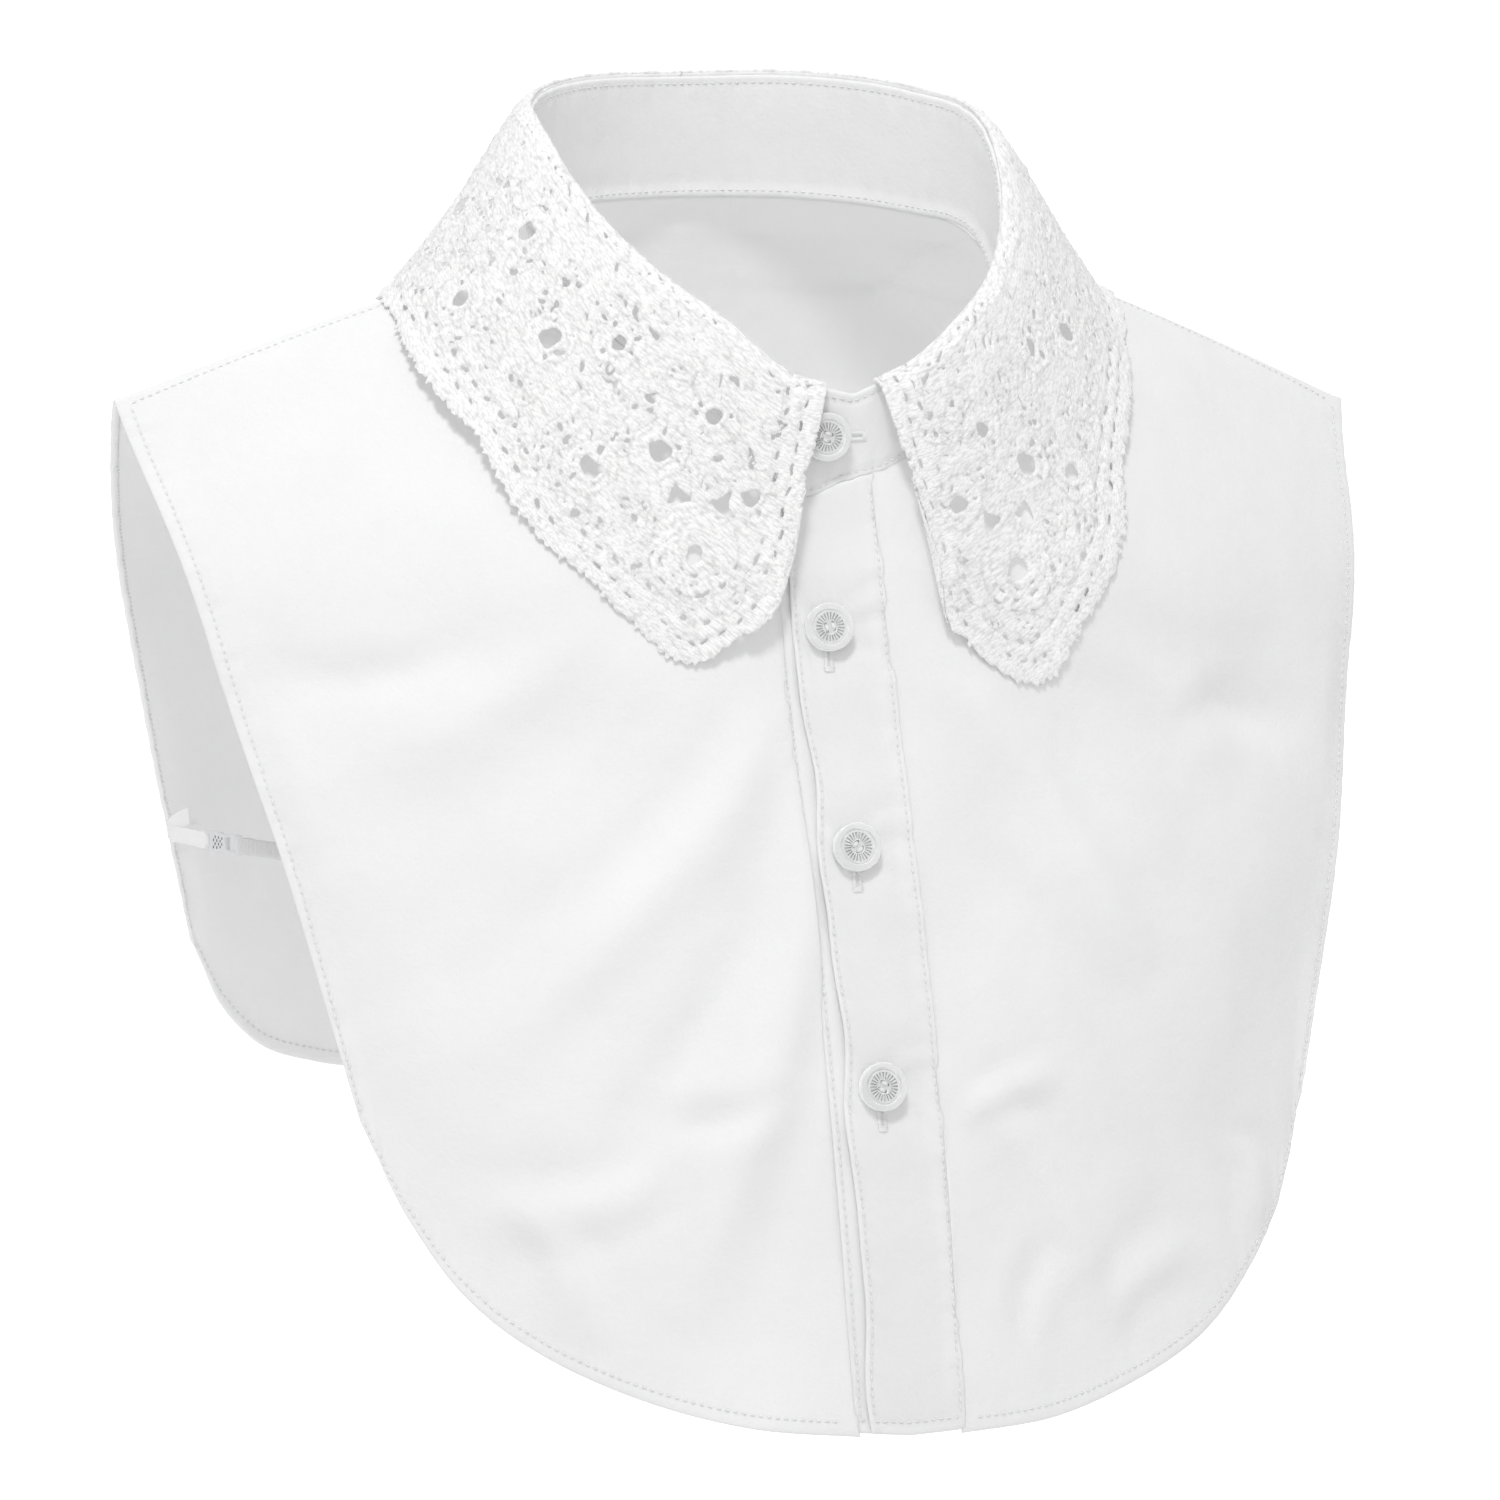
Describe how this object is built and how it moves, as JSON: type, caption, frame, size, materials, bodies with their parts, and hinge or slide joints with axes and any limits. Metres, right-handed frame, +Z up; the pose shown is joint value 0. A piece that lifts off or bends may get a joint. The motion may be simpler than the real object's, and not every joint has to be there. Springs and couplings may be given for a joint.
{
  "type": "lace collar dickey",
  "caption": "False shirt front with a lace turn-down collar on a stand, buttoned placket, back panel and hooked side straps, filled out as worn.",
  "frame": {"origin": "on the body's centre line inside the neck opening, level with the side neckline's lower third, where the neck holds the collar", "axes": "+X to the wearer's left, the front faces -Y, +Z up"},
  "size_m": [0.3336, 0.1957, 0.3252],
  "materials": {
    "cloth": "plain-woven white cotton blend",
    "lace": "white guipure lace of thick matt yarn",
    "button": "clear resin, polished",
    "elastic": "white ribbed elastic and woven tape",
    "hook": "white moulded plastic, satin"
  },
  "bodies": {
    "root": {"front_left": "cloth", "front_right": "cloth", "placket_left": "cloth", "placket_right": "cloth", "back": "cloth", "collar_stand": "cloth", "lace_collar_left": "lace", "lace_collar_right": "lace", "button_neck": "button", "button_upper": "button", "button_middle": "button", "button_lower": "button", "strap_back_left": "elastic", "strap_back_right": "elastic", "strap_front_left": "elastic", "strap_front_right": "elastic", "hook_left": "hook", "hook_right": "hook"}
  },
  "joints": []
}
